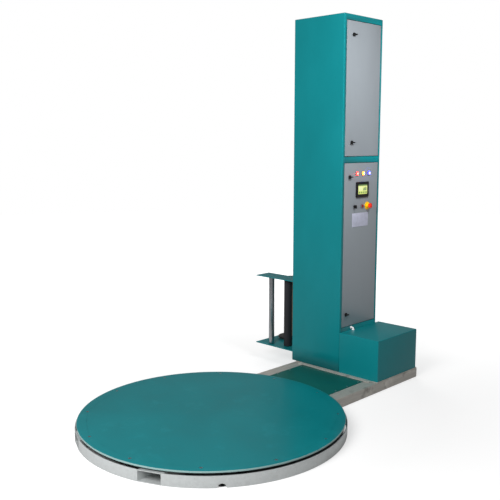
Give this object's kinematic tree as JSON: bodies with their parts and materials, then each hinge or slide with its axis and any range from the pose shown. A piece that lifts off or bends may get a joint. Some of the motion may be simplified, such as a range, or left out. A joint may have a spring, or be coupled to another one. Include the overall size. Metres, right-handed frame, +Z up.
{
  "type": "turntable pallet wrapper",
  "caption": "Pallet stretch wrapper with a low round turntable, an arm to a tall teal mast with two doors and a control panel, a drive cover and a film carriage.",
  "frame": {"origin": "centre of the turntable on the floor", "axes": "+X along the arm to the mast, +Y away from the door side of the mast, +Z up"},
  "size_m": [2.5748, 1.6696, 2.634],
  "materials": {
    "galvanised_steel": "satin galvanised",
    "arm_steel": "satin galvanised",
    "machined_steel": "machined",
    "roller_steel": "ground",
    "dark_steel": "oiled",
    "teal_plate_paint": "satin, scuffed",
    "teal_paint": "satin powder coat",
    "door_paint": "satin powder coat",
    "motor_grey": "semi-gloss",
    "white_plastic": "moulded",
    "black_plastic": "moulded",
    "grey_plastic": "moulded",
    "chromed_ring": "bright",
    "yellow_plastic": "moulded",
    "estop_red": "moulded",
    "button_red": "moulded",
    "screen_glow": "lit screen",
    "label_plate": "satin",
    "core_tube": "satin",
    "roller_rubber": "matte",
    "red_lens": "lit lens",
    "yellow_lens": "lit lens",
    "blue_lens": "lit lens"
  },
  "bodies": {
    "base_and_mast": {"base_ring": "galvanised_steel", "levelling_feet": "machined_steel", "fork_tubes": "galvanised_steel", "base_spokes": "galvanised_steel", "roller_brackets": "machined_steel", "centre_post": "machined_steel", "centre_bearing": "machined_steel", "arm_rails": "arm_steel", "arm_cover": "teal_plate_paint", "mast_base_plate": "galvanised_steel", "drive_cover": "teal_paint", "drive_gearbox": "motor_grey", "drive_motor": "motor_grey", "drive_chain": "dark_steel", "cable_gland": "white_plastic", "mast_shell": "teal_paint", "guide_rails": "machined_steel", "hinge_brackets": "machined_steel", "control_backplate": "galvanised_steel", "control_gear": "grey_plastic", "lift_bracket": "machined_steel", "lift_gearbox": "motor_grey", "lift_motor": "motor_grey", "lift_chain": "dark_steel"},
    "turntable": {"turntable_plate": "teal_plate_paint", "roller_track": "machined_steel", "turntable_hub": "machined_steel", "turntable_sprocket": "dark_steel", "plate_screws": "machined_steel"},
    "support_roller_1": {"support_roller_1": "roller_steel"},
    "support_roller_2": {"support_roller_2": "roller_steel"},
    "support_roller_3": {"support_roller_3": "roller_steel"},
    "support_roller_4": {"support_roller_4": "roller_steel"},
    "support_roller_5": {"support_roller_5": "roller_steel"},
    "support_roller_6": {"support_roller_6": "roller_steel"},
    "drive_sprocket": {"drive_sprocket": "dark_steel"},
    "upper_door": {"upper_door": "door_paint"},
    "lower_door": {"lower_door": "door_paint", "panel_collars": "chromed_ring", "estop_collar": "yellow_plastic", "red_lamp": "red_lens", "yellow_lamp": "yellow_lens", "blue_lamp": "blue_lens", "hmi_bezel": "black_plastic", "hmi_screen": "screen_glow", "name_plate": "label_plate"},
    "upper_latch_top": {"upper_latch_top": "black_plastic"},
    "upper_latch_bottom": {"upper_latch_bottom": "black_plastic"},
    "lower_latch_top": {"lower_latch_top": "black_plastic"},
    "lower_latch_bottom": {"lower_latch_bottom": "black_plastic"},
    "selector": {"selector_knob": "black_plastic"},
    "push_button": {"push_button": "button_red"},
    "estop_button": {"estop_button": "estop_red"},
    "film_carriage": {"carriage_frame": "teal_paint", "glide_blocks": "white_plastic"},
    "lift_bottom_sprocket": {"lift_bottom_sprocket": "dark_steel"},
    "lift_top_sprocket": {"lift_top_sprocket": "dark_steel"},
    "film_mandrel": {"film_mandrel": "core_tube"},
    "tension_roller": {"tension_roller": "roller_rubber"},
    "guide_roller": {"guide_roller": "roller_steel"}
  },
  "joints": [
    {"name": "turntable_spin", "type": "hinge", "parent": "base_and_mast", "child": "turntable", "pos_m": [0, 0, 0.083], "axis": [0, 0, 1], "continuous": true},
    {"name": "support_roller_1_spin", "type": "hinge", "parent": "base_and_mast", "child": "support_roller_1", "pos_m": [0.725, 0, 0.0507], "axis": [1, 0, 0], "continuous": true},
    {"name": "support_roller_2_spin", "type": "hinge", "parent": "base_and_mast", "child": "support_roller_2", "pos_m": [0.3625, 0.62787, 0.0507], "axis": [0.5, 0.866, 0], "continuous": true},
    {"name": "support_roller_3_spin", "type": "hinge", "parent": "base_and_mast", "child": "support_roller_3", "pos_m": [-0.3625, 0.62787, 0.0507], "axis": [-0.5, 0.866, 0], "continuous": true},
    {"name": "support_roller_4_spin", "type": "hinge", "parent": "base_and_mast", "child": "support_roller_4", "pos_m": [-0.725, 0, 0.0507], "axis": [-1, 0, 0], "continuous": true},
    {"name": "support_roller_5_spin", "type": "hinge", "parent": "base_and_mast", "child": "support_roller_5", "pos_m": [-0.3625, -0.62787, 0.0507], "axis": [-0.5, -0.866, 0], "continuous": true},
    {"name": "support_roller_6_spin", "type": "hinge", "parent": "base_and_mast", "child": "support_roller_6", "pos_m": [0.3625, -0.62787, 0.0507], "axis": [0.5, -0.866, 0], "continuous": true},
    {"name": "drive_sprocket_spin", "type": "hinge", "parent": "base_and_mast", "child": "drive_sprocket", "pos_m": [1.4805, -0.2065, 0.05], "axis": [0, 0, 1], "continuous": true},
    {"name": "upper_door_hinge", "type": "hinge", "parent": "base_and_mast", "child": "upper_door", "pos_m": [1.659, -0.028, 2.121], "axis": [0, 0, 1], "range_deg": [0, 105]},
    {"name": "lower_door_hinge", "type": "hinge", "parent": "base_and_mast", "child": "lower_door", "pos_m": [1.659, -0.028, 1.0035], "axis": [0, 0, 1], "range_deg": [0, 105]},
    {"name": "upper_latch_top_turn", "type": "hinge", "parent": "upper_door", "child": "upper_latch_top", "pos_m": [1.339, -0.035, 2.497], "axis": [0, 1, 0], "range_deg": [0, 90]},
    {"name": "upper_latch_bottom_turn", "type": "hinge", "parent": "upper_door", "child": "upper_latch_bottom", "pos_m": [1.336, -0.035, 1.749], "axis": [0, 1, 0], "range_deg": [0, 90]},
    {"name": "lower_latch_top_turn", "type": "hinge", "parent": "lower_door", "child": "lower_latch_top", "pos_m": [1.322, -0.035, 1.504], "axis": [0, 1, 0], "range_deg": [0, 90]},
    {"name": "lower_latch_bottom_turn", "type": "hinge", "parent": "lower_door", "child": "lower_latch_bottom", "pos_m": [1.306, -0.035, 0.495], "axis": [0, 1, 0], "range_deg": [0, 90]},
    {"name": "selector_turn", "type": "hinge", "parent": "lower_door", "child": "selector", "pos_m": [1.382, -0.035, 1.286], "axis": [0, 1, 0], "range_deg": [-45, 45]},
    {"name": "push_button_press", "type": "slide", "parent": "lower_door", "child": "push_button", "axis": [0, 1, 0], "range_m": [0, 0.003], "stiffness_N_per_m": 600, "springref_m": -0.002},
    {"name": "estop_press", "type": "slide", "parent": "lower_door", "child": "estop_button", "axis": [0, 1, 0], "range_m": [0, 0.004]},
    {"name": "carriage_lift", "type": "slide", "parent": "base_and_mast", "child": "film_carriage", "axis": [0, 0, 1], "range_m": [0, 1.7]},
    {"name": "lift_bottom_sprocket_spin", "type": "hinge", "parent": "base_and_mast", "child": "lift_bottom_sprocket", "pos_m": [1.4605, 0.33, 0.175], "axis": [1, 0, 0], "range_deg": [0, 2030]},
    {"name": "lift_top_sprocket_spin", "type": "hinge", "parent": "base_and_mast", "child": "lift_top_sprocket", "pos_m": [1.4605, 0.33, 2.48], "axis": [1, 0, 0], "range_deg": [0, 2030]},
    {"name": "film_mandrel_spin", "type": "hinge", "parent": "film_carriage", "child": "film_mandrel", "pos_m": [1.5305, 0.7, 0.4], "axis": [0, 0, 1], "continuous": true},
    {"name": "tension_roller_spin", "type": "hinge", "parent": "film_carriage", "child": "tension_roller", "pos_m": [1.34, 0.56, 0.4], "axis": [0, 0, 1], "continuous": true},
    {"name": "guide_roller_spin", "type": "hinge", "parent": "film_carriage", "child": "guide_roller", "pos_m": [1.3, 0.7, 0.4], "axis": [0, 0, 1], "continuous": true}
  ],
  "couplings": [
    {"joint": "support_roller_1_spin", "follows": "turntable_spin", "ratio": -34.524},
    {"joint": "support_roller_2_spin", "follows": "turntable_spin", "ratio": -34.524},
    {"joint": "support_roller_3_spin", "follows": "turntable_spin", "ratio": -34.524},
    {"joint": "support_roller_4_spin", "follows": "turntable_spin", "ratio": -34.524},
    {"joint": "support_roller_5_spin", "follows": "turntable_spin", "ratio": -34.524},
    {"joint": "support_roller_6_spin", "follows": "turntable_spin", "ratio": -34.524},
    {"joint": "drive_sprocket_spin", "follows": "turntable_spin", "ratio": 5},
    {"joint": "lift_bottom_sprocket_spin", "follows": "carriage_lift", "rad_per_m": 20.736},
    {"joint": "lift_top_sprocket_spin", "follows": "carriage_lift", "rad_per_m": 20.736}
  ]
}
